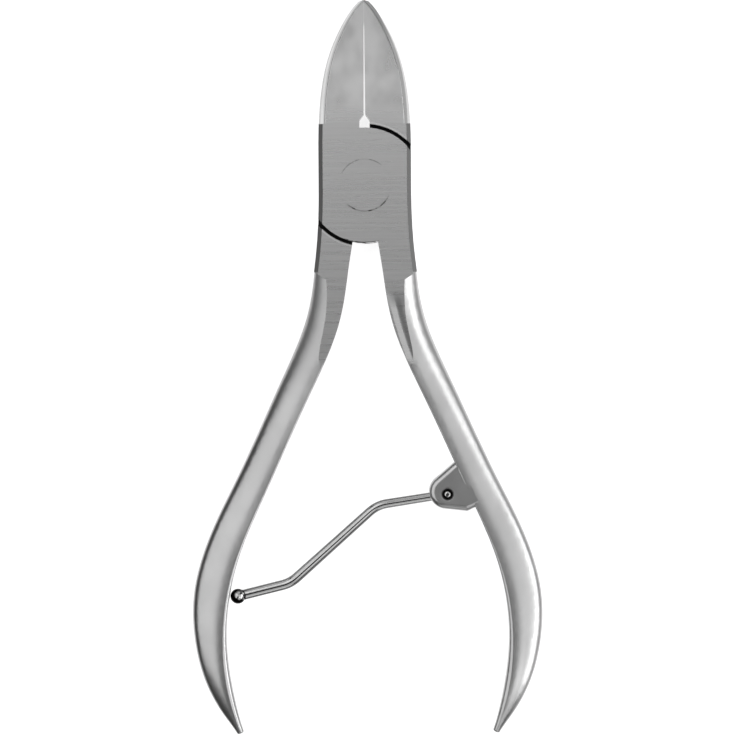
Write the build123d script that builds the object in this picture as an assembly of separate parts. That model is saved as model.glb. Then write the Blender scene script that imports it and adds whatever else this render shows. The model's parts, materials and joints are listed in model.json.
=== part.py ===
from build123d import *
import os

# Nail nipper, plier kind, lying flat with its jaws closed. Millimetres.
# +Z is up, the jaws point along +Y, and the pivot's axis is the Z axis.
# z = 0 is the ground underside of the lap joint, which the tool lies on.
#
# Two forgings cross at the pivot. Each one is a jaw, a half-thickness lap and, on the other
# side of the centre line, a handle:
#   front_half  left jaw, upper lap, right handle and the slotted lug for the spring
#   rear_half   right jaw, lower lap, left handle
# The rivet's flush heads are ground over with the laps. The wire spring turns on a pin in
# the lug, and its ball end leans on the left handle.

# ---- overall sizes
jaw_reach = 33.0            # pivot to the jaw tips
handle_reach = 97.6         # pivot to the handle ends
handle_span = 62.4          # across the outsides of the two bows
joint_thickness = 8.4

# ---- jaws and joint, seen from above: half widths at distances from the pivot
jaw_shoulder_width = 8.0    # half width where the jaws stop widening
jaw_shoulder = 13.5
jaw_belly_width = 6.6       # half width where the taper to the tip begins
jaw_belly = 22.2
jaw_nose_width = 4.1
jaw_nose = 28.3
joint_half_width = 8.2      # at the pivot
neck_share = 0.062          # the ground side runs on along this share of the handle
neck_proud = 0.05           # it stands this far outside the rounded handle
neck_reach = 21.5           # its end slants to this distance below the pivot, at the middle
jaw_draft = 14.0            # lean of the jaws' outer sides from upright, degrees
tip_overhang = 0.55         # the blank's sides meet this far beyond the ground tips
jaw_rounding = 0.2          # on the long outer edges of the jaws
joint_bevel_width = 0.75    # bevel on the joint's outer edges, seen from above
joint_bevel_height = 1.1

# ---- jaws, seen from the side
tip_top = 6.7               # upper face at the tip
tip_bottom = 2.9            # lower face at the tip
face_start = 10.9           # the sloping upper face leaves the flat of the joint here
face_sag = 0.40             # how far that face bulges above a straight line
back_start = 9.5            # the same for the lower face
back_sag = 0.7

# ---- cutting edges
tip_gap = 0.01              # between the edges, where they meet
meet_end = 29.0             # they meet from the tip down to here
light_start = 27.8          # from here down, light shows between them
light_gap = 0.10
throat_gap = 0.30           # gap where the edges end
edge_end = 12.7             # where the edges end and the relief hole opens
relief_half_width = 0.9
relief_flare = 11.6         # the relief hole is at its full width from here to the lap
land_height = 0.7           # height of the narrow face behind each cutting edge
hollow_widths = ((34.5, 1.8), (23.0, 2.9), (12.9, 1.2))     # (y, half width at the underside)
hollow_sag = 0.45           # how far each hollow-ground face dips

# ---- lap joint
lap_radius = 10.2
shoulder_gap = 0.65         # open arc between a lap and the other half's shoulder
lap_clearance = 0.05        # between the two laps' faces
rivet_radius = 3.2
rivet_head_radius = 4.6
running_clearance = 0.03    # round the rivet's shank in the front half
head_clearance = 0.01       # round the rim of its upper head, which is peened down tight

# ---- handles: centre line of the right one, as corners of a line with rounded corners
handle_start = (5.4, 10.0)  # offset from the centre line, distance below the pivot
neck_corner = (7.27, 24.3)
neck_radius = 40.0
bow_corner_outside = 0.8    # the bow's corner stands this far outside the bow's outer side
bow_corner_share = 0.8      # and this share of the handle's reach below the pivot
bow_radius = 37.0
end_offset = 22.5
end_rounding = 0.3

# Sections of the handle, each at a share of its length: (share, width, thickness,
# roundness, fullness, crest). The first ones are thicker than the joint and are ground flat
# with it, which leaves the leaf-shaped run-out of the flats. Roundness 1 rounds a whole
# side. Fullness is how far the rounding bulges: 0.5 is a straight bevel and 0.71 an oval.
# Crest is the share of the width outside the highest line: at 0.5 both sides are alike.
handle_sections = (
    (0.0, 6.20, 9.00, 0.50, 0.70, 0.96),
    (0.055, 5.95, 9.00, 0.62, 0.70, 0.96),
    (0.105, 5.88, 9.00, 0.80, 0.70, 0.96),
    (0.155, 5.85, 8.90, 0.93, 0.71, 0.96),
    (0.215, 5.80, 8.55, 0.97, 0.71, 0.96),
    (0.290, 5.72, 7.70, 0.98, 0.71, 0.96),
    (0.380, 5.65, 6.95, 0.98, 0.71, 0.96),
    (0.495, 5.80, 6.50, 0.98, 0.71, 0.96),
    (0.613, 6.20, 6.20, 0.98, 0.71, 0.95),
    (0.716, 6.40, 6.00, 0.98, 0.71, 0.92),
    (0.807, 5.65, 5.50, 0.98, 0.71, 0.88),
    (0.882, 4.55, 4.60, 0.98, 0.71, 0.8),
    (0.947, 2.75, 3.10, 0.98, 0.71, 0.7),
    (0.996, 1.25, 1.70, 0.98, 0.71, 0.5),
)

# ---- spring lug on the right handle
lug_share = 0.4852          # along the handle's centre line, as for the sections
lug_thickness = 6.5
lug_nose_radius = 3.05
lug_nose_rise = 0.5         # nose centre, from the pin towards the joint
lug_root_above = 4.95       # root, from the pin towards the joint
lug_root_below = 4.2        # and towards the handle's end
lug_heel = 1.9              # the lower side turns to the nose this far short of the pin
lug_sunk = 0.9              # root's depth in the handle
lug_rounding = 1.0
pin_offset = 3.5            # pin axis from the handle's inner side
pin_radius = 0.85
pin_recess_radius = 1.25
pin_recess_depth = 0.65
pin_sunk = 0.1              # pin's ends below the lug's faces
pin_end_rounding = 0.6
slot_clearance = 0.2        # on each side of the spring's eye
eye_room = 0.3              # round the eye, in the slot

# ---- wire spring, in the middle plane of the joint
eye_clearance = 0.05        # eye round the pin
wire_radii = (0.82, 0.87, 0.96, 0.96)   # at the eye, upper bend, lower bend and ball
bend_radius = 6.0
upper_bend = (0.292, -3.7)  # share of the way from pin to ball, and offset to the side
lower_bend = (0.772, 2.0)
ball_radius = 1.35
ball_share = 0.7155         # along the left handle's centre line
ball_gap = 0.1              # ball to handle

root_beyond = 6.0           # the joint's plan is cut this far outside the handle's centre

mid = joint_thickness / 2
above = joint_thickness + 5
wire_radius = wire_radii[0]
eye_radius = pin_radius + eye_clearance + wire_radius       # to the middle of the wire
slot_height = 2 * wire_radius + 2 * slot_clearance
big = 200.0


def handle_line():
    """Centre line of the right handle, from the joint to its end."""
    bow_corner = (handle_span / 2 + bow_corner_outside, -bow_corner_share * handle_reach)
    corners = (
        (handle_start[0], -handle_start[1]),
        (neck_corner[0], -neck_corner[1]),
        bow_corner,
        (end_offset, -handle_reach),
    )
    return FilletPolyline(*corners, radius=[neck_radius, bow_radius])


center_line = handle_line()


def handle_frame(share):
    """Point on the centre line, its direction, and the direction away from the other handle."""
    point = center_line @ share
    along = center_line % share
    outward = Vector(-along.Y, along.X)
    return point, along, outward


def handle_width(share):
    """Width of the handle where one of its sections is, or between two of them."""
    for low, high in zip(handle_sections, handle_sections[1:]):
        if low[0] <= share <= high[0]:
            way = (share - low[0]) / (high[0] - low[0])
            return low[1] + way * (high[1] - low[1])


def quarter(x, y, width, rise, fullness):
    """Rounded corner about (x, y), from straight above or below it to straight beside it."""
    above_it = (x, y + rise)
    between = (x + fullness * width, y + fullness * rise)
    beside_it = (x + width, y)
    ways = ((width, 0), (0, -rise))
    return Spline(above_it, between, beside_it, tangents=ways)


def handle_section(share, width, thickness, roundness, fullness, crest):
    """One closed section: flat towards the other handle, rounded towards the palm."""
    outer = roundness * crest * width
    inner = roundness * (1 - crest) * width
    outer_rise = roundness * thickness / 2
    inner_rise = outer_rise * 2 * (1 - crest)
    x_out = width / 2 - outer
    x_in = inner - width / 2
    y_out = thickness / 2 - outer_rise
    y_in = thickness / 2 - inner_rise
    corners = [
        quarter(x_out, y_out, outer, outer_rise, fullness),
        quarter(x_out, -y_out, outer, -outer_rise, fullness),
        quarter(x_in, -y_in, -inner, -inner_rise, fullness),
        quarter(x_in, y_in, -inner, inner_rise, fullness),
    ]
    flats = [
        Line(corners[0] @ 1, corners[1] @ 1),
        Line(corners[1] @ 0, corners[2] @ 0),
        Line(corners[2] @ 1, corners[3] @ 1),
        Line(corners[3] @ 0, corners[0] @ 0),
    ]
    profile = make_face(Curve() + corners + flats)
    point, along, outward = handle_frame(share)
    plane = Plane(origin=(point.X, point.Y, mid), x_dir=outward, z_dir=along)
    return plane * profile


def handle():
    """Right handle, forged oval and ground flat with the faces of the joint."""
    sections = [handle_section(*row) for row in handle_sections]
    forged = loft(sections)
    end = forged.faces().filter_by(GeomType.PLANE).sort_by(Axis.Y)[0]
    forged = fillet(end.edges(), end_rounding)
    ground = Pos(0, 0, mid) * Box(big, 2 * big, joint_thickness)
    return forged & ground


def side_curve():
    """Outer edge of jaw, joint and neck on the right, from the tip to the handle."""
    point, along, outward = handle_frame(0)
    neck = point + outward * (handle_width(0) / 2 + neck_proud)
    last, along, outward = handle_frame(neck_share)
    end = last + outward * (handle_width(neck_share) / 2 + neck_proud)
    return Spline(
        (0, jaw_reach + tip_overhang),
        (jaw_nose_width, jaw_nose),
        (jaw_belly_width, jaw_belly),
        (jaw_shoulder_width, jaw_shoulder),
        (joint_half_width, 0),
        (neck.X, neck.Y),
        (end.X, end.Y),
        tangents=((0.9, -0.55), (along.X, along.Y)),
        tangent_scalars=(0.8, 1.0),
    )


def plan_outline():
    """Jaws and joint seen from above, before they are divided into two halves."""
    right = side_curve()
    left = mirror(right, Plane.YZ)
    low = (0, -neck_reach)
    return make_face(Curve() + [right, Line(right @ 1, low), Line(low, left @ 1), left])


def cut_to(solid, side):
    """What lies ahead of the joint's flat face (side 1), or behind its end (side -1)."""
    return solid & Pos(0, face_start + side * big / 2) * Box(big, big, big)


def jaws():
    """Both jaws, with sides that lean in from the middle as the forging dies leave them."""
    upper = extrude(Pos(0, 0, mid) * plan_outline(), mid, taper=jaw_draft)
    whole = upper + mirror(upper, Plane.XY.offset(mid))
    blank = cut_to(whole & side_profile(), 1)
    rims = blank.edges().filter_by(GeomType.BSPLINE).group_by(Axis.Z, tol_digits=3)
    return fillet(rims[0] + rims[-1], jaw_rounding)


def joint():
    """The joint, with upright sides and a ground bevel along each outer edge."""
    blank = cut_to(extrude(plan_outline(), joint_thickness), -1)
    for face in (blank.faces().sort_by(Axis.Z)[0], blank.faces().sort_by(Axis.Z)[-1]):
        rims = face.edges().filter_by(GeomType.BSPLINE)
        blank = chamfer(rims, joint_bevel_width, joint_bevel_height, reference=face)
    return blank


def side_profile():
    """The blank seen from the side: flat at the joint, both faces closing towards the tip."""
    beyond = jaw_reach + 1
    start = -handle_start[1] - 5
    top = arc_between((face_start, joint_thickness), (beyond, tip_top), face_sag)
    back = arc_between((back_start, 0), (beyond, tip_bottom), -back_sag)
    lines = [
        Line((start, 0), (back_start, 0)),
        back,
        Line((beyond, tip_bottom), (beyond, tip_top)),
        top,
        Line((face_start, joint_thickness), (start, joint_thickness)),
        Line((start, joint_thickness), (start, 0)),
    ]
    face = Plane.YZ * make_face(Curve() + lines)
    return extrude(face, big / 2, both=True)


def arc_between(start, end, sag):
    """Arc whose middle stands sag above the straight line from start to end."""
    middle = ((start[0] + end[0]) / 2, (start[1] + end[1]) / 2 + sag)
    return ThreePointArc(start, middle, end)


def half_mask():
    """Plan of the front half: left jaw, lap and the root of the right handle."""
    jaw = Polyline(
        (-tip_gap / 2, jaw_reach + 1),
        (-tip_gap / 2, meet_end),
        (-light_gap / 2, light_start),
        (-throat_gap / 2, edge_end),
        (-relief_half_width, relief_flare),
        (-relief_half_width, 0),
        (-big, 0),
        (-big, jaw_reach + 1),
        close=True,
    )
    point, along, outward = handle_frame(0)
    root = Plane(origin=point, x_dir=outward, z_dir=(0, 0, 1)) * Rectangle(
        handle_sections[0][1] / 2 + root_beyond,
        handle_start[1] / 2,
        align=(Align.MIN, Align.MIN),
    )
    root = Pos(*(outward * (-handle_sections[0][1] / 2))) * root
    below = handle_frame(2 * neck_share)[0]
    top = point.Y + handle_start[1] / 4
    neck = Polyline(
        (point.X, top),
        (below.X, below.Y),
        (below.X + root_beyond, below.Y),
        (point.X + root_beyond, top),
        close=True,
    )
    return make_face(jaw) + root + make_face(neck) + Circle(lap_radius)


def hollow_grind():
    """The hollow ground behind both cutting edges, from below."""
    sections = []
    for y, half_width in hollow_widths:
        share = (y - face_start) / (jaw_reach - face_start)
        apex = joint_thickness + share * (tip_top - joint_thickness) - land_height
        low = -1.0
        left = arc_sideways((0, apex), (-half_width, low), hollow_sag)
        right = arc_sideways((half_width, low), (0, apex), hollow_sag)
        base = Line((-half_width, low), (half_width, low))
        plane = Plane(origin=(0, y, 0), x_dir=(1, 0, 0), z_dir=(0, -1, 0))
        sections.append(plane * make_face(Curve() + [left, base, right]))
    return loft(sections)


def arc_sideways(start, end, sag):
    """Arc that bulges by sag to the left of the way from start to end, seen from the tool."""
    a = Vector(*start)
    b = Vector(*end)
    way = (b - a).normalized()
    middle = (a + b) * 0.5 + Vector(way.Y, -way.X) * sag
    return ThreePointArc(start, (middle.X, middle.Y), end)


def rivet_profile(round_head, round_shank):
    """Half section of the rivet, or of its hole if there is room round head and shank."""
    head = rivet_head_radius + round_head
    shank = rivet_radius + round_shank
    slope = rivet_head_radius - rivet_radius
    lines = Polyline(
        (0, 0),
        (head, 0),
        (shank, slope),
        (shank, joint_thickness - slope),
        (head, joint_thickness),
        (0, joint_thickness),
        close=True,
    )
    return Plane.XZ * make_face(lines)


def shoulder_cut(sign):
    """Room for the other half's lap: above the middle for sign 1, below it for sign -1."""
    height = mid + 5
    drum = Cylinder(lap_radius + shoulder_gap, height)
    return Pos(0, 0, mid + sign * (height - lap_clearance) / 2) * drum


def uncut_half():
    """Left jaw, lap and right handle, all of them still at full thickness."""
    blank = (jaws() + joint()) & extrude(half_mask(), above)
    return blank + handle() - hollow_grind()


def lug_plane():
    """At the pin's axis: x points away from the handle, y towards the handle's end."""
    point, along, outward = handle_frame(lug_share)
    pin = point - outward * (handle_width(lug_share) / 2 + pin_offset)
    return Plane(origin=(pin.X, pin.Y, mid), x_dir=outward * -1, z_dir=(0, 0, 1))


def lug():
    """Solid lug on its own axes, with its nose towards +x."""
    nose = Pos(0, -lug_nose_rise) * Circle(lug_nose_radius)
    root = Polyline(
        (-pin_offset - lug_sunk, -lug_root_above),
        (-pin_offset - lug_sunk, lug_root_below),
        (-lug_heel, lug_root_below),
        close=True,
    )
    outline = make_hull([*nose.edges(), *root.edges()])
    solid = Pos(0, 0, -lug_thickness / 2) * extrude(outline, lug_thickness)
    rims = solid.edges().filter_by(Plane.XY)
    outside = [edge for edge in rims if edge.center().X > -pin_offset]
    return fillet(outside, lug_rounding)


def lug_slot():
    """Slot for the spring's eye, open on the whole side away from the handle."""
    pocket = Circle(eye_radius + wire_radius + eye_room)
    length = 2 * (lug_root_above + lug_root_below)
    mouth = Pos(length / 2, 0) * Rectangle(length, length)
    return Pos(0, 0, -slot_height / 2) * extrude(pocket + mouth, slot_height)


def pin_hole():
    """Bore through both ears, with a recess in each outer face."""
    hole = Cylinder(pin_radius, lug_thickness + 2)
    recess = Cylinder(pin_recess_radius, pin_recess_depth * 2)
    for side in (-1, 1):
        hole += Pos(0, 0, side * lug_thickness / 2) * recess
    return hole


def front_half():
    """Left jaw, upper lap, right handle and spring lug."""
    half = uncut_half() - shoulder_cut(-1)
    half -= revolve(rivet_profile(head_clearance, running_clearance), Axis.Z)
    place = lug_plane()
    half += place * lug()
    return half - place * (lug_slot() + pin_hole())


def rear_half():
    """Right jaw, lower lap and left handle."""
    half = mirror(uncut_half(), Plane.YZ) - shoulder_cut(1)
    return half - revolve(rivet_profile(0, 0), Axis.Z)


def pivot_rivet():
    return revolve(rivet_profile(0, 0), Axis.Z)


def spring_pin():
    """Pin through the lug's ears and the spring's eye, with rounded ends."""
    pin = Cylinder(pin_radius, lug_thickness - 2 * pin_sunk)
    pin = fillet(pin.edges().filter_by(GeomType.CIRCLE), pin_end_rounding)
    return lug_plane() * pin


def ball_center():
    """The ball leans on the left handle, which mirrors the right one."""
    point, along, outward = handle_frame(ball_share)
    reach = handle_width(ball_share) / 2 + ball_gap + ball_radius
    place = point - outward * reach
    return Vector(-place.X, place.Y)


def spring_route():
    """Centre line of the wire from the eye to the ball, in plan."""
    pin = Vector(lug_plane().origin.X, lug_plane().origin.Y)
    ball = ball_center()
    way = ball - pin
    side = Vector(-way.Y, way.X).normalized()
    upper = pin + way * upper_bend[0] + side * upper_bend[1]
    lower = pin + way * lower_bend[0] + side * lower_bend[1]
    start = pin + (upper - pin).normalized() * eye_radius
    corners = [(v.X, v.Y) for v in (start, upper, lower, ball)]
    return Pos(0, 0, mid) * FilletPolyline(*corners, radius=bend_radius)


def wire_spring():
    """Eye, three straight runs that grow thicker towards the ball, two bends and the ball."""
    spring = lug_plane() * Torus(eye_radius, wire_radius)
    bend = 0
    for edge in spring_route().edges():
        near = Plane(edge @ 0, z_dir=edge % 0) * Circle(wire_radii[bend])
        if edge.geom_type == GeomType.LINE:
            bend += 1
            far = Plane(edge @ 1, z_dir=edge % 1) * Circle(wire_radii[bend])
            spring += loft([near, far])
        else:
            spring += sweep(near, edge)
    ball = ball_center()
    return spring + Pos(ball.X, ball.Y, mid) * Sphere(ball_radius)


def main():
    parts = {
        "front_half": front_half(),
        "rear_half": rear_half(),
        "pivot_rivet": pivot_rivet(),
        "spring_pin": spring_pin(),
        "wire_spring": wire_spring(),
    }
    os.makedirs("parts", exist_ok=True)
    for name, solid in parts.items():
        export_step(solid, f"parts/{name}.step")


main()
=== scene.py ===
# %% [markdown]
# # Nail nipper, plier kind
# A nail nipper is two steel forgings that cross on a rivet. Each forging is a jaw, half of the
# lap joint and a long bowed handle. A bent wire spring turns on a small pin in the right
# handle's lug, and its ball leans on the left handle. The shapes could be modelled again here,
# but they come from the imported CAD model, so that looks and motion share one set of sizes. This
# lesson gives each piece its steel, made from nodes alone, then adds floor, light and camera.

# %% Load the CAD frame
import json
import math

import bpy
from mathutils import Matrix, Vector


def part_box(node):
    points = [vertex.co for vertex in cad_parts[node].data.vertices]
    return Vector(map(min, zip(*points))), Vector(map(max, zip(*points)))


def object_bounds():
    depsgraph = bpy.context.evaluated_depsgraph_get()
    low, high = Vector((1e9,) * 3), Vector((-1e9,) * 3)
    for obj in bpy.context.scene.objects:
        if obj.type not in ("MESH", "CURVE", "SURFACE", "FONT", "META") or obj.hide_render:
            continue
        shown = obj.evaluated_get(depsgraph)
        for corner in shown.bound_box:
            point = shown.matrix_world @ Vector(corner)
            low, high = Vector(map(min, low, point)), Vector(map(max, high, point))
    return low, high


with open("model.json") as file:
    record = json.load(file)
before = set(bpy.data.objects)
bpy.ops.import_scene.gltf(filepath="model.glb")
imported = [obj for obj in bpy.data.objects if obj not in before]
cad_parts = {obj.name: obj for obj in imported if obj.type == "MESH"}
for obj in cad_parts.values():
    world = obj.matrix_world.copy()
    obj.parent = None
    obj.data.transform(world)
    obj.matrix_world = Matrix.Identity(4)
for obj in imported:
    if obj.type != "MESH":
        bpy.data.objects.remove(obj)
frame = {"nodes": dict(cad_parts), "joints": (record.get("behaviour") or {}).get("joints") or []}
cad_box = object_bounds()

nodes = frame["nodes"]
for name in sorted(nodes):
    low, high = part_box(name)
    size = ", ".join(f"{1000 * (b - a):.1f}" for a, b in zip(low, high))
    print(f"{name}: {size} mm")

# %% [markdown]
# ## Helpers for materials
# Shaders work in linear light, while a colour is picked in sRGB, so one function turns a hex value to
# linear. The finishes could be painted on maps. They are nodes instead, since nodes stay sharp
# however close the camera comes. One small function adds a node of any kind, with its settings and
# links, so that each finish below reads as a short list of steps.


# %% Colour helper
def linear(hex_code):
    """An sRGB hex colour as linear red, green, blue and alpha."""
    parts = [int(hex_code[i : i + 2], 16) / 255 for i in (1, 3, 5)]
    return [p / 12.92 if p <= 0.04045 else ((p + 0.055) / 1.055) ** 2.4 for p in parts] + [1]


print(f"#808080 is {linear('#808080')[0]:.3f} in linear light")


# %% Node helper
def add(tree, kind, inputs=(), **settings):
    """Adds a node with its settings, then sets or links its inputs.

    The inputs are a list in the node's own order, or a dict by socket name or number. Each is a
    value, a hex colour, a socket, or a node whose first output is linked.
    """
    made = tree.nodes.new("ShaderNode" + kind)
    for name, value in settings.items():
        setattr(made, name, value)
    places = inputs if isinstance(inputs, dict) else dict(enumerate(inputs))
    for place, value in places.items():
        source = value.outputs[0] if isinstance(value, bpy.types.Node) else value
        if isinstance(source, bpy.types.NodeSocket):
            tree.links.new(source, made.inputs[place])
        else:
            made.inputs[place].default_value = linear(source) if isinstance(source, str) else source
    return made


def new_material(name):
    """A material with an empty node tree, and that tree."""
    made = bpy.data.materials.new(name)
    made.use_nodes = True
    made.node_tree.nodes.clear()
    print("material:", name)
    return made, made.node_tree


# %% [markdown]
# ## One steel for both forgings and the rivet
# Nippers of this kind are drop forged from stainless steel and hardened, then finished by hand.
# Three finishes meet on one forging: satin on jaws and handles, faces ground flat round the
# joint, and dark oil in the gaps that no wheel reaches. The forging could be cut up to give each
# finish its own material. One material with masks keeps it whole. The masks are worked out from
# where a point lies, in millimetres from the pivot. They stay in place when the tool opens,
# because Object coordinates belong to the piece.

# %% Where a point lies on the tool
joints = {joint["name"]: joint for joint in frame["joints"]}
middle_height = 1000 * joints["pivot"]["pos_m"][2]
rivet_low, rivet_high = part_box("pivot_rivet")
joint_top = 500 * (rivet_high[2] - rivet_low[2])    # over the middle, as all heights are


def place_on_tool(tree):
    """A point in millimetres: its vector, x, y, and height over the joint's middle."""
    place = add(tree, "TexCoord").outputs["Object"]
    point = add(tree, "VectorMath", {0: place, "Scale": 1000.0}, operation="SCALE")
    split = add(tree, "SeparateXYZ", [point])
    height = add(tree, "Math", [split.outputs["Z"], middle_height], operation="SUBTRACT")
    return point, split.outputs["X"], split.outputs["Y"], height


# Forged stainless, part satin and part ground: pale even steel that mirrors softly.
forged, tree = new_material("stainless_forged_satin_and_surface_ground")
point, x, y, height = place_on_tool(tree)
print(f"the joint is {2 * joint_top:.1f} mm thick, with its middle at {middle_height:.1f} mm")

# %% [markdown]
# ## Ground faces
# The riveted joint is laid flat under a grinding wheel, so lap, rivet head and necks come out as
# one plane on each side. The faces could be picked by hand, which would tie the material to one
# mesh. Here a point counts as ground where its normal points straight up or down and it lies at
# the joint's full height, which holds for both halves and the rivet alike.

# %% Mask of the ground faces
smooth = {"interpolation_type": "SMOOTHSTEP"}
level_range = (0.995, 0.9995)
outer_skin = (joint_top - 0.08, joint_top - 0.02)


def all_of(tree, *masks):
    """1 where every mask is 1: their product."""
    product = masks[0]
    for mask in masks[1:]:
        product = add(tree, "Math", [product, mask], operation="MULTIPLY")
    return product


normal = add(tree, "TexCoord").outputs["Normal"]
upward = add(tree, "SeparateXYZ", [normal]).outputs["Z"]
levelness = add(tree, "Math", [upward], operation="ABSOLUTE")   # 1 is level, 0 is upright
depth = add(tree, "Math", [height], operation="ABSOLUTE")
level = add(tree, "MapRange", [levelness, *level_range], **smooth)
outermost = add(tree, "MapRange", [depth, *outer_skin], **smooth)
ground = all_of(tree, level, outermost)
print(f"ground faces lie {outer_skin[1]:.2f} mm or more from the joint's middle")

# %% [markdown]
# ## Polishing clouds and grinding lines
# A felt wheel leaves jaws and handles without lines, but it presses unevenly, so the satin has
# broad faint clouds, fainter still on the handles. A grinding wheel leaves straight lines across
# all it passes. A scanned map of scratches could show both. Noise stretched along one axis does
# it at any size, and the lines run on from one half to the other, because both share one frame.
# Real grinding lines are some hundredths of a millimetre apart, too fine to show, so these are
# drawn about ten times as coarse.

# %% Noise for both
clouds_per_mm = (0.17, 0.12, 0.17)
lines_per_mm = (0.05, 2.6, 0.3)
cloud_contrast = (0.32, 0.68)       # the middle of the noise, stretched to its whole range
line_contrast = (0.25, 0.75)
cloud_fade = (-12.0, 10.0)
handle_clouds = 0.35                # their strength on the handles, against the jaws


def grain(tree, point, cells_per_mm, detail=3.0, roughness=0.55):
    """Noise with so many cells in a millimetre along each axis."""
    spread = add(tree, "Mapping", {"Vector": point, "Scale": cells_per_mm})
    inputs = {"Vector": spread, "Scale": 1.0, "Detail": detail, "Roughness": roughness}
    return add(tree, "TexNoise", inputs)


clouds = grain(tree, point, clouds_per_mm, detail=2.0)
lines = grain(tree, point, lines_per_mm, roughness=0.6)
swing = add(tree, "MapRange", [clouds, *cloud_contrast, -0.5, 0.5], **smooth)
strength = add(tree, "MapRange", [y, *cloud_fade, handle_clouds, 1.0], **smooth)
cloudy = add(tree, "Math", [swing, strength, 0.5], operation="MULTIPLY_ADD")
lined = add(tree, "MapRange", [lines, *line_contrast], **smooth)
print(f"a cloud is about {1 / clouds_per_mm[0]:.0f} mm wide, a line {1 / lines_per_mm[1]:.2f} mm")

# %% Colours of satin and ground steel
satin = add(tree, "Mix", {0: cloudy, 6: "#CECECE", 7: "#E8E8E8"}, data_type="RGBA").outputs[2]
lined_grey = add(tree, "Mix", {0: lined, 6: "#D9D9D9", 7: "#E1E1E1"}, data_type="RGBA").outputs[2]
print("satin from #CECECE to #E8E8E8, ground steel from #D9D9D9 to #E1E1E1")

# %% [markdown]
# ## Sides of the jaws
# The jaws' outer sides are dressed by hand after forging. Their colour carries painted shade in place
# of the dark room that they mirror, and the two sides are painted differently. Here the left one has
# a faint band of painted shade at half height and a darker painted upper edge. The right one has
# painted shade above its middle, darkest near the tip. A map could be painted for each side. It is
# simpler to take a point's height as a share of the jaw's own, which thins towards the tip, and that
# needs one slope.

# %% Where the jaws' sides carry painted shade
jaw_start = 10.8
jaw_slope = 0.114           # how far a jaw's top falls in a millimetre towards the tip
side_range = (0.7, 0.5)
sideways = add(tree, "MapRange", [levelness, *side_range], **smooth)
on_jaw = add(tree, "Math", [y, jaw_start], operation="GREATER_THAN")
beyond = add(tree, "Math", [y, jaw_start], operation="SUBTRACT")
jaw_top = add(tree, "Math", [beyond, -jaw_slope, joint_top], operation="MULTIPLY_ADD")
share = add(tree, "Math", [depth, jaw_top], operation="DIVIDE")
print(f"a jaw's top falls {jaw_slope:.3f} mm in each millimetre")

# %% Painted shade on the right side and on the left side
# Each range is a share of the height from the middle to the top.
shade_range = (0.3, 0.6)
mid_shade_range = (0.15, 0.4)
upper_shade_range = (0.65, 0.95)
mid_shade_strength = 0.4
upper_shade_strength = 0.6
tip_band = (28.5, 32.5)     # where the painted shade widens to the whole side
tip_raise = 0.5
widened = add(tree, "MapRange", [y, *tip_band, 0.0, tip_raise], **smooth)
raised = add(tree, "Math", [share, widened], operation="ADD")
shaded = add(tree, "MapRange", [raised, *shade_range], **smooth)
mid_shade = add(tree, "MapRange", [share, *mid_shade_range, mid_shade_strength, 0.0], **smooth)
upper_shade = add(tree, "MapRange", [share, *upper_shade_range, 0.0, upper_shade_strength], **smooth)
left_shade = add(tree, "Math", [mid_shade, upper_shade], operation="MAXIMUM")
on_right = add(tree, "Math", [x, 0.0], operation="GREATER_THAN")
side_shade = all_of(tree, add(tree, "Mix", {0: on_right, 2: left_shade, 3: shaded}), sideways, on_jaw)
print(f"the whole right side is stoned from {tip_band[1]:.1f} mm to the tip")

# %% Colour of the painted shade, darkest at the tip
dark_tip = (24.0, 30.0)
tipward = add(tree, "MapRange", [y, *dark_tip], **smooth)
side_shade_color = add(tree, "Mix", {0: tipward, 6: "#808080", 7: "#3E3E3E"}, data_type="RGBA").outputs[2]
# Painted shade: the jaws' sides darken towards #3E3E3E at the tip, in place of the dark room that
# they mirror.
satin = add(tree, "Mix", {0: side_shade, 6: satin, 7: side_shade_color}, data_type="RGBA").outputs[2]
print(f"the sides darken from {dark_tip[0]:.0f} to {dark_tip[1]:.0f} mm past the pivot")

# %% [markdown]
# ## Bevels along the joint
# The joint's two long edges are broken to a bevel. Their colour is painted a little darker than the
# satin beside them, as painted shade for the darker surroundings that such a bevel mirrors. A Bevel
# node could find such edges, but it also finds the seam round the rivet. The bevels are real faces of
# the CAD model, so their slope and their stretch along the tool pick them out exactly.

# %% Mask and colour of the bevels
bevel_start = -15.4
off_level_range = (0.9, 0.8)
off_upright_range = (0.35, 0.45)
off_level = add(tree, "MapRange", [levelness, *off_level_range], **smooth)
off_upright = add(tree, "MapRange", [levelness, *off_upright_range], **smooth)
after = add(tree, "Math", [y, bevel_start], operation="GREATER_THAN")
before = add(tree, "Math", [y, jaw_start], operation="LESS_THAN")
bevel_shade = all_of(tree, off_level, off_upright, after, before)
# Painted shade: the bevels' colour is darkened to #A6A6A6.
satin = add(tree, "Mix", {0: bevel_shade, 6: satin, 7: "#A6A6A6"}, data_type="RGBA").outputs[2]
color = add(tree, "Mix", {0: ground, 6: satin, 7: lined_grey}, data_type="RGBA").outputs[2]
print(f"the bevels run for {jaw_start - bevel_start:.1f} mm")
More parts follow.
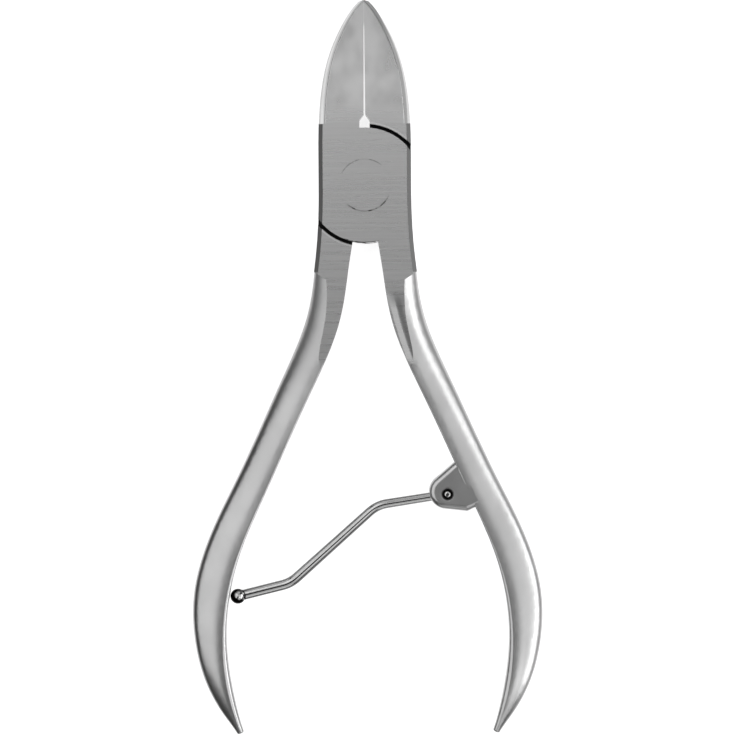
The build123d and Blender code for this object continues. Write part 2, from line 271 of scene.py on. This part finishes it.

# %% [markdown]
# ## Land on the right neck
# A grinding wheel that tips over an edge leaves a narrow leaning land with a valley beside it, and
# the right neck has such a pair. Here the land leans by about ten degrees. It could be cut into the
# mesh. It is less than a fifth of a millimetre deep, so a Bump node tips the light on it, and the
# forging keeps its CAD shape. Its line leans and curves outwards, as the neck's does. The valley is
# not tipped: its colour is darkened instead, as painted shade.

# %% How far a point is across the land
land_start = -18.6
land_x = 4.3
land_lean = 0.19            # sideways for each millimetre along, at the start
land_curve = 0.0075         # how much more it leans after each millimetre
land_fade = (0.0, 4.0)
land_close = (14.5, 11.5)
right_side = 1.0            # keeps it off the left neck
along = add(tree, "Math", [land_start, y], operation="SUBTRACT")
sideward = add(tree, "Math", [along, land_curve, land_lean], operation="MULTIPLY_ADD")
land_middle = add(tree, "Math", [along, sideward, land_x], operation="MULTIPLY_ADD")
across = add(tree, "Math", [x, land_middle], operation="SUBTRACT")
opening = add(tree, "MapRange", [along, *land_fade], **smooth)
closing = add(tree, "MapRange", [along, *land_close], **smooth)
right_neck = add(tree, "Math", [x, right_side], operation="GREATER_THAN")
on_land = all_of(tree, opening, closing, right_neck)
print(f"the land is {land_close[0]:.1f} mm long")

# %% Its lean and its valley
land_slope = 0.17
land_half = 0.5             # half its width
valley_start = (0.45, 0.9)
valley_end = (2.0, 1.2)
held = add(tree, "Clamp", [across, -land_half, land_half])
fall = add(tree, "Math", [held, -land_slope], operation="MULTIPLY")
land_height = all_of(tree, fall, on_land, ground)
inner = add(tree, "MapRange", [across, *valley_start], **smooth)
outer = add(tree, "MapRange", [across, *valley_end], **smooth)
valley_shade = all_of(tree, inner, outer, on_land, ground)
# Painted shade: the valley beside the land is darkened to #AAAAAA.
color = add(tree, "Mix", {0: valley_shade, 6: color, 7: "#AAAAAA"}, data_type="RGBA").outputs[2]
print(f"the land leans {math.degrees(math.atan(land_slope)):.1f} degrees")

# %% [markdown]
# ## Painted shoulder highlight, rivet seam and lap line
# Three thin marks run on circles round the pivot. The shoulders' edges beside the open arcs carry a
# painted highlight. The rivet's head is ground flush, and what is left of its seam is a faint broken
# ring, deepest towards the handles. The lap's lower rim carries a thin line of painted shade. Curves
# could be laid there as pieces, which would stand proud. A thin ring of one radius, cut short by
# other masks, lies in the face itself, as the real marks do.


# %% Distance and ring helpers
def distance_from(tree, x, y, center=(0.0, 0.0)):
    """Distance in plan from a place on the tool: the pivot, unless another is given."""
    flat_point = add(tree, "CombineXYZ", [x, y])
    apart = add(tree, "VectorMath", [flat_point, (*center, 0.0)], operation="DISTANCE")
    return apart.outputs["Value"]


def ring(tree, away, radius, edge):
    """1 on a thin circle. Across it, the mask is full until edge[0] and gone at edge[1]."""
    offset = add(tree, "Math", [away, radius], operation="SUBTRACT")
    beside = add(tree, "Math", [offset], operation="ABSOLUTE")
    return add(tree, "MapRange", [beside, *edge, 1.0, 0.0], **smooth)


lap_radius = 10.2
away = distance_from(tree, x, y)
print(f"the laps end {lap_radius} mm from the pivot")

# %% Painted highlight on the shoulder edges
highlight_radius = lap_radius + 0.88
highlight_edge = (0.05, 0.16)
highlight_strength = 0.8
shoulder_edge = ring(tree, away, highlight_radius, highlight_edge)
quarter = add(tree, "Math", [x, y], operation="MULTIPLY")
open_quarter = add(tree, "Math", [quarter, 0.0], operation="GREATER_THAN")
edge_highlight = all_of(tree, shoulder_edge, open_quarter, ground, highlight_strength)
# Painted highlight: a thin ring of #FAFAFA along the shoulders' edges.
color = add(tree, "Mix", {0: edge_highlight, 6: color, 7: "#FAFAFA"}, data_type="RGBA").outputs[2]
print(f"bright edges {highlight_radius:.2f} mm from the pivot")

# %% Seam round the rivet's head
seam_radius = 500 * (rivet_high[0] - rivet_low[0])
seam_edge = (0.04, 0.15)
seam_turn = 0.2             # turns the two arcs a little from straight up and down
lower_arc = (2.3, 3.9)
upper_arc = (2.6, 3.8)
upper_strength = 0.45
down = add(tree, "Math", [x, seam_turn], operation="MULTIPLY")
down = add(tree, "Math", [down, y], operation="SUBTRACT")
up = add(tree, "Math", [down, -1.0], operation="MULTIPLY")
lower = add(tree, "MapRange", [down, *lower_arc], **smooth)
upper = add(tree, "MapRange", [up, *upper_arc, 0.0, upper_strength], **smooth)
arcs = add(tree, "Math", [lower, upper], operation="MAXIMUM")
print(f"the rivet's seam is {2 * seam_radius:.1f} mm across")

# %% The seam's worn breaks
breaks_per_mm = (0.9, 0.9, 0.9)
break_contrast = (0.38, 0.56)
worn_faint = 0.3
breaks = grain(tree, point, breaks_per_mm)
worn = add(tree, "MapRange", [breaks, *break_contrast, worn_faint, 1.0], **smooth)
seam = all_of(tree, ring(tree, away, seam_radius, seam_edge), arcs, worn)
print(f"where the seam is worn away, {worn_faint} of it still shows")

# %% Painted shade on the lap's lower rim
rim_radius = lap_radius - 0.07
rim_edge = (0.03, 0.1)
rim_bottom = (-9.3, -9.7)
neck_side = (2.6, 2.1)
rim_breaks_per_mm = (1.2, 1.2, 1.2)
rim_break_contrast = (0.4, 0.5)
rim_break_floor = 0.2
lowest = add(tree, "MapRange", [y, *rim_bottom], **smooth)
off_neck = add(tree, "MapRange", [x, *neck_side], **smooth)
rim_breaks = grain(tree, point, rim_breaks_per_mm)
rim_broken = add(tree, "MapRange", [rim_breaks, *rim_break_contrast, rim_break_floor, 1.0], **smooth)
rim_shade = all_of(tree, ring(tree, away, rim_radius, rim_edge), lowest, off_neck, rim_broken)
seam_line_and_rim_shade = all_of(tree, add(tree, "Math", [seam, rim_shade], operation="MAXIMUM"), ground)
# Painted shade along the lap's lower rim, and the dark seam round the rivet's head, both in #2A2826.
color = add(tree, "Mix", {0: seam_line_and_rim_shade, 6: color, 7: "#2A2826"}, data_type="RGBA").outputs[2]
print("seam and lap line are #2A2826")

# %% [markdown]
# ## Painted shade in the open arcs and round the pin
# Each lap stops short of the other half's shoulder, which leaves an open arc as wide as a fingernail
# is thick. Deep in the arcs the light is lost, so their walls and floor are painted black, as painted
# shade. The lug also has a small ring of painted shade round the pin's hole. Black pieces could fill
# the arcs, but they would cut into the halves when the tool opens. The painted shade is a finish of
# each arc's walls and floor instead: dark, rough and not metal.

# %% Mask of the painted shade in the arcs
arc_inner = lap_radius - 0.08
arc_outer = lap_radius + 0.75
arc_corner = -3.0           # x times y times height is over this only in the open arcs
arc_depth = joint_top - 0.1
past_lap = add(tree, "Math", [away, arc_inner], operation="GREATER_THAN")
short_of_wall = add(tree, "Math", [away, arc_outer], operation="LESS_THAN")
corner = add(tree, "Math", [quarter, height], operation="MULTIPLY")
open_side = add(tree, "Math", [corner, arc_corner], operation="GREATER_THAN")
sunk = add(tree, "Math", [depth, arc_depth], operation="LESS_THAN")
in_arcs = all_of(tree, past_lap, short_of_wall, open_side, sunk)
print(f"oil from {arc_inner:.2f} to {arc_outer:.2f} mm from the pivot")

# %% Painted shade round the pin, and its colour
pin_place = tuple(1000 * v for v in joints["spring_swing"]["pos_m"][:2])
pin_ring = (0.95, 1.2)
off_pin = distance_from(tree, x, y, pin_place)
round_pin = add(tree, "MapRange", [off_pin, *pin_ring, 1.0, 0.0], **smooth)
black_shade = add(tree, "Math", [in_arcs, round_pin], operation="MAXIMUM")
# Painted shade: black #0B0A09 in the open arcs and in a ring round the pin's hole.
color = add(tree, "Mix", {0: black_shade, 6: color, 7: "#0B0A09"}, data_type="RGBA").outputs[2]
print(f"oil {pin_ring[1]} mm round the pin's middle")

# %% [markdown]
# ## How smooth the steel is
# Felt-polished and ground steel both blur what they mirror into broad soft tones. One number
# could do for all of it, but the finishes would then differ in colour alone, so roughness
# follows the same masks as colour does. The left handle's root is rougher than the right one for
# the light's sake and not because such a tool is: it faces a gap between the panels, and the
# extra roughness spreads their light across the dark band that the gap would leave.

# %% Roughness
satin_rough = (0.27, 0.30)
ground_rough = (0.26, 0.31)
shade_rough = 0.6
root_band = (-50.0, -22.0)
root_extra = 0.16
clouded = add(tree, "MapRange", [cloudy, 0.0, 1.0, *satin_rough])
scored = add(tree, "MapRange", [lines, *line_contrast, *ground_rough], **smooth)
rough = add(tree, "Mix", {0: ground, 2: clouded, 3: scored})
rootward = add(tree, "MapRange", [y, *root_band], **smooth)
on_left = add(tree, "Math", [x, 0.0], operation="LESS_THAN")
off_ground = add(tree, "Math", [1.0, ground], operation="SUBTRACT")
on_handle = add(tree, "Math", [y, bevel_start], operation="LESS_THAN")
unpolished = all_of(tree, rootward, on_left, off_ground, on_handle)
rough = add(tree, "Math", [unpolished, root_extra, rough], operation="MULTIPLY_ADD")
rough = add(tree, "Mix", {0: black_shade, 2: rough, 3: shade_rough})
low_rough, high_rough = ground_rough
print(f"roughness {low_rough} to {high_rough}, and {root_extra} more at the left handle's root")

# %% [markdown]
# ## Relief, and the shader
# A Bump node turns a height into a tilt of the light. The grinding lines are a micrometre deep.
# The land's height is in millimetres, so its Distance is one millimetre, in metres. Both work only on
# the ground faces. Steel is a metal at its default IOR, and the black painted shade is not, so
# Metallic falls to 0 under it. To the eye this gives even, pale grey steel that mirrors its
# surroundings softly, with crisp black gaps of painted shade.

# %% Bumps and surface
line_depth = 0.000001
line_strength = 0.3
millimetre = 0.001
lined_ground = all_of(tree, lines, ground)
relief = {"Strength": line_strength, "Distance": line_depth, "Height": lined_ground}
scratched = add(tree, "Bump", relief)
relief = {"Strength": 1.0, "Distance": millimetre, "Height": land_height, "Normal": scratched}
tipped = add(tree, "Bump", relief)
metal = add(tree, "Math", [1.0, black_shade], operation="SUBTRACT")
finish = {"Base Color": color, "Metallic": metal, "Roughness": rough, "Normal": tipped}
add(tree, "OutputMaterial", {"Surface": add(tree, "BsdfPrincipled", finish)})
print(f"{forged.name}: {len(tree.nodes)} nodes")

# %% [markdown]
# ## Bright wire and pin
# The spring is hard-drawn wire, and the pin is turned and burnished, so both are smoother and
# brighter than the forgings and show sharp window lights. The ball at the wire's end leans on the
# left handle. A crescent of painted shade, in place of the dark room that it mirrors, lies on that
# side of it. The pin's domed end has a bright crown inside a ring of painted shade. The crescent
# could be drawn on a map of the ball. It is what one circle leaves of another, so two distances make
# it.

# %% Places of the ball and the pin
wire_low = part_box("wire_spring")[0]
pin_low, pin_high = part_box("spring_pin")
pin_radius = 500 * (pin_high[0] - pin_low[0])
ball_radius = 1.35
lit_offset = (0.31, 0.235)        # the bright patch, free of painted shade, faces away from the left handle
ball_place = tuple(1000 * low + ball_radius for low in wire_low[:2])
lit_place = tuple(a + b for a, b in zip(ball_place, lit_offset))
print(f"ball at {ball_place[0]:.2f}, {ball_place[1]:.2f} mm, pin {2 * pin_radius:.1f} mm thick")

# %% Painted shade on the ball and round the pin's crown
lit_rim = (0.72, 0.92)
crown_rim = (0.38, 0.58)
overreach = 0.05            # takes each mask just past the ball's or the pin's edge


def shade_patch(tree, x, y, place, reach, bright_place, bright_rim):
    """1 within reach of a place, apart from a bright round patch with a soft rim: where painted shade
    goes.
    """
    near = add(tree, "Math", [distance_from(tree, x, y, place), reach], operation="LESS_THAN")
    off_bright = distance_from(tree, x, y, bright_place)
    shaded_part = add(tree, "MapRange", [off_bright, *bright_rim], **smooth)
    return all_of(tree, near, shaded_part)


def wire_and_pin_shade(tree, x, y):
    """Painted shade on the ball's side that leans on the handle, and round the pin's crown."""
    reach = ball_radius + overreach
    on_ball = shade_patch(tree, x, y, ball_place, reach, lit_place, lit_rim)
    reach = pin_radius + overreach
    on_pin = shade_patch(tree, x, y, pin_place, reach, pin_place, crown_rim)
    return add(tree, "Math", [on_ball, on_pin], operation="MAXIMUM")


print(f"clean to {lit_rim[0]} mm on the ball and {crown_rim[0]} mm on the pin")


# %% Drawn wire and turned pin
marks_per_mm = (1.5, 1.5, 1.5)
mark_contrast = (0.3, 0.7)


def bright_steel(name, low, high, smoothest, roughest):
    """Smooth bright steel with faint marks between two greys, and painted shade on the ball and round
    the pin's crown.
    """
    made, tree = new_material(name)
    point, x, y = place_on_tool(tree)[:3]
    marks = grain(tree, point, marks_per_mm)
    marked = add(tree, "MapRange", [marks, *mark_contrast], **smooth)
    rough = add(tree, "MapRange", [marks, *mark_contrast, smoothest, roughest], **smooth)
    color = add(tree, "Mix", {0: marked, 6: low, 7: high}, data_type="RGBA").outputs[2]
    black_shade = wire_and_pin_shade(tree, x, y)
    # Painted shade: the ball's crescent and the ring round the pin's crown turn #0B0A09.
    color = add(tree, "Mix", {0: black_shade, 6: color, 7: "#0B0A09"}, data_type="RGBA").outputs[2]
    finish = {"Base Color": color, "Metallic": 1.0, "Roughness": rough}
    add(tree, "OutputMaterial", {"Surface": add(tree, "BsdfPrincipled", finish)})
    return made


# Drawn wire is a shade darker, and it shows long bright streaks along its length.
wire = bright_steel("spring_wire_drawn_bright", "#D2D2D2", "#DCDCDC", 0.09, 0.13)
# The turned pin is the brightest piece: one point of light in its ring of painted shade.
pin = bright_steel("pin_steel_turned_bright", "#E4E4E4", "#F0F0F0", 0.10, 0.14)

# %% [markdown]
# ## Steel on the pieces
# Both halves and the rivet were forged, hardened and ground together, so they share one steel,
# and the wire and the pin have their own. Each could be given by name, but a table of the two
# exceptions is shorter and leaves no piece without a material.

# %% Give each piece its steel
steels = {"wire_spring": wire, "spring_pin": pin}
for name, piece in nodes.items():
    piece.data.materials.clear()
    piece.data.materials.append(steels.get(name, forged))
    print(f"{name}: {piece.data.materials[0].name}")

# %% [markdown]
# ## White sheet under the tool
# The tool lies on a white sheet that runs on past the camera's view. It could be lit until it
# clips to white, but that light would flood the steel. Instead the camera alone sees it glow,
# by Is Camera Ray, and its own pale paint still takes the tool's shadow. Steel mirrors the sheet
# too, so Is Glossy Ray gives it a tone of its own there: bright where it is met straight on, and
# dark at a graze, as if the sheet ended not far off. It is darkest on the tool's left.

# %% Lay the sheet
sheet_size = 3.0
sheet_drop = 0.0001         # keeps it clear of the tool's underside
bpy.ops.object.select_all(action="DESELECT")
bpy.ops.mesh.primitive_plane_add(size=sheet_size, location=(0, 0, -sheet_drop))
floor = bpy.context.active_object
floor.name = "floor"
print(f"sheet {sheet_size:.0f} m wide")

# %% Paint the sheet
camera_glow = 0.85
sides = (-10.0, 10.0)
graze_tones = (0.07, 0.35)
graze_band = (0.25, 0.7)
# Matt white card: it shows as plain white, with only the tool's soft shadow on it.
sweep, tree = new_material("white_sweep")
x = place_on_tool(tree)[1]
ray = add(tree, "LightPath")
facing = add(tree, "LayerWeight").outputs["Facing"]
grazing = add(tree, "MapRange", [x, *sides, *graze_tones], **smooth)
mirrored = add(tree, "MapRange", [facing, *graze_band, 1.0, grazing], **smooth)
paint = add(tree, "BsdfDiffuse", {"Color": "#E6E6E6"})
glow = add(tree, "Math", [ray.outputs["Is Camera Ray"], camera_glow], operation="MULTIPLY")
glow = add(tree, "Emission", {"Color": "#FFFFFF", "Strength": glow})
sheet = add(tree, "AddShader", [paint, glow])
reflected = add(tree, "Emission", {"Color": "#FFFFFF", "Strength": mirrored})
both = add(tree, "MixShader", [ray.outputs["Is Glossy Ray"], sheet, reflected])
add(tree, "OutputMaterial", {"Surface": both})
floor.data.materials.append(sweep)

# %% [markdown]
# ## Soft boxes
# Polished steel shows what stands round it more than its own colour, so the light is a set of
# even white panels, each placed where a face of the tool mirrors it. A studio panorama could
# wrap the scene instead, but panels can be moved one at a time, and each has a real size. The
# rounded handles and the jaws' sides mirror the ones left and right. The ground faces blur the
# high ones together, and the low ones in front and behind keep those faces pale when the tool
# is seen at a slant. A panel of radiance 1 would be mirrored as white.

# %% Soft box helper
tool_middle = Vector((0, -0.033, 0))


def softbox(name, azimuth, elevation, distance, width, height, radiance):
    """A panel of even brightness, aimed at the tool's middle, in degrees and metres."""
    turn = math.radians(azimuth)
    rise = math.radians(elevation)
    way = Vector((math.cos(turn) * math.cos(rise), math.sin(turn) * math.cos(rise), math.sin(rise)))
    lamp = bpy.data.lights.new(name, "AREA")
    lamp.shape = "RECTANGLE"
    lamp.size = width
    lamp.size_y = height
    lamp.energy = radiance * math.pi * width * height
    panel = bpy.data.objects.new(name, lamp)
    panel.location = tool_middle + way * distance
    panel.rotation_euler = way.to_track_quat("Z", "Y").to_euler()
    bpy.context.scene.collection.objects.link(panel)
    print(f"{name}: {lamp.energy:.2f} W")


# %% Panels left and right
softbox("left_box", azimuth=168, elevation=50, distance=0.7, width=0.9, height=0.74, radiance=0.76)
softbox("right_box", azimuth=-6, elevation=52, distance=0.7, width=0.7, height=0.6, radiance=0.68)
softbox("right_window", azimuth=-5, elevation=23, distance=0.7, width=0.72, height=0.26, radiance=2.0)
softbox("right_wall", azimuth=0, elevation=5, distance=0.7, width=1.0, height=0.15, radiance=0.6)

# %% Panels behind and in front
softbox("back_box", azimuth=90, elevation=78, distance=0.7, width=0.34, height=0.21, radiance=0.62)
softbox("back_middle", azimuth=90, elevation=52, distance=0.7, width=0.6, height=0.32, radiance=0.42)
softbox("front_box", azimuth=-60, elevation=45, distance=0.7, width=0.5, height=0.5, radiance=0.45)
softbox("back_low", azimuth=90, elevation=25, distance=0.8, width=0.9, height=0.4, radiance=0.5)
softbox("front_low", azimuth=-90, elevation=22, distance=0.8, width=0.7, height=0.35, radiance=0.5)

# %% [markdown]
# ## Dim room
# Between the panels the room is nearly black, which keeps dark edges on the steel. A black world
# would do, but then nothing would reach into the slot and the gaps.

# %% World
room_strength = 0.04
room = bpy.data.worlds.new("studio")
bpy.context.scene.world = room
room.use_nodes = True
room.node_tree.nodes["Background"].inputs["Color"].default_value = linear("#FFFFFF")
room.node_tree.nodes["Background"].inputs["Strength"].default_value = room_strength
print(f"room at {room_strength} of white")

# %% [markdown]
# ## Camera
# The tool is seen from straight above, as in a catalogue. An orthographic camera could show it
# without any perspective. A long lens from 0.9 m comes close to that and still lets the handles'
# sides show a little, as they do to a real camera. The lens is worked out from the width that
# fills the frame at the height of the tool's top.

# %% Place the camera
camera_height = 0.9
camera_place = (0.00034, -0.03241)
camera_roll = math.radians(-0.38)
frame_width = 0.13036
sensor = 36.0
view_end = 10.0
lens = bpy.data.cameras.new("camera")
lens.sensor_width = sensor
lens.lens = sensor * (camera_height - cad_box[1][2]) / frame_width
lens.clip_end = view_end
camera = bpy.data.objects.new("camera", lens)
camera.location = (*camera_place, camera_height)
camera.rotation_euler = (0, 0, camera_roll)
bpy.context.scene.collection.objects.link(camera)
bpy.context.scene.camera = camera
bpy.context.scene.view_settings.view_transform = "Standard"
print(f"lens {lens.lens:.0f} mm, {frame_width * 1000:.0f} mm across the frame")
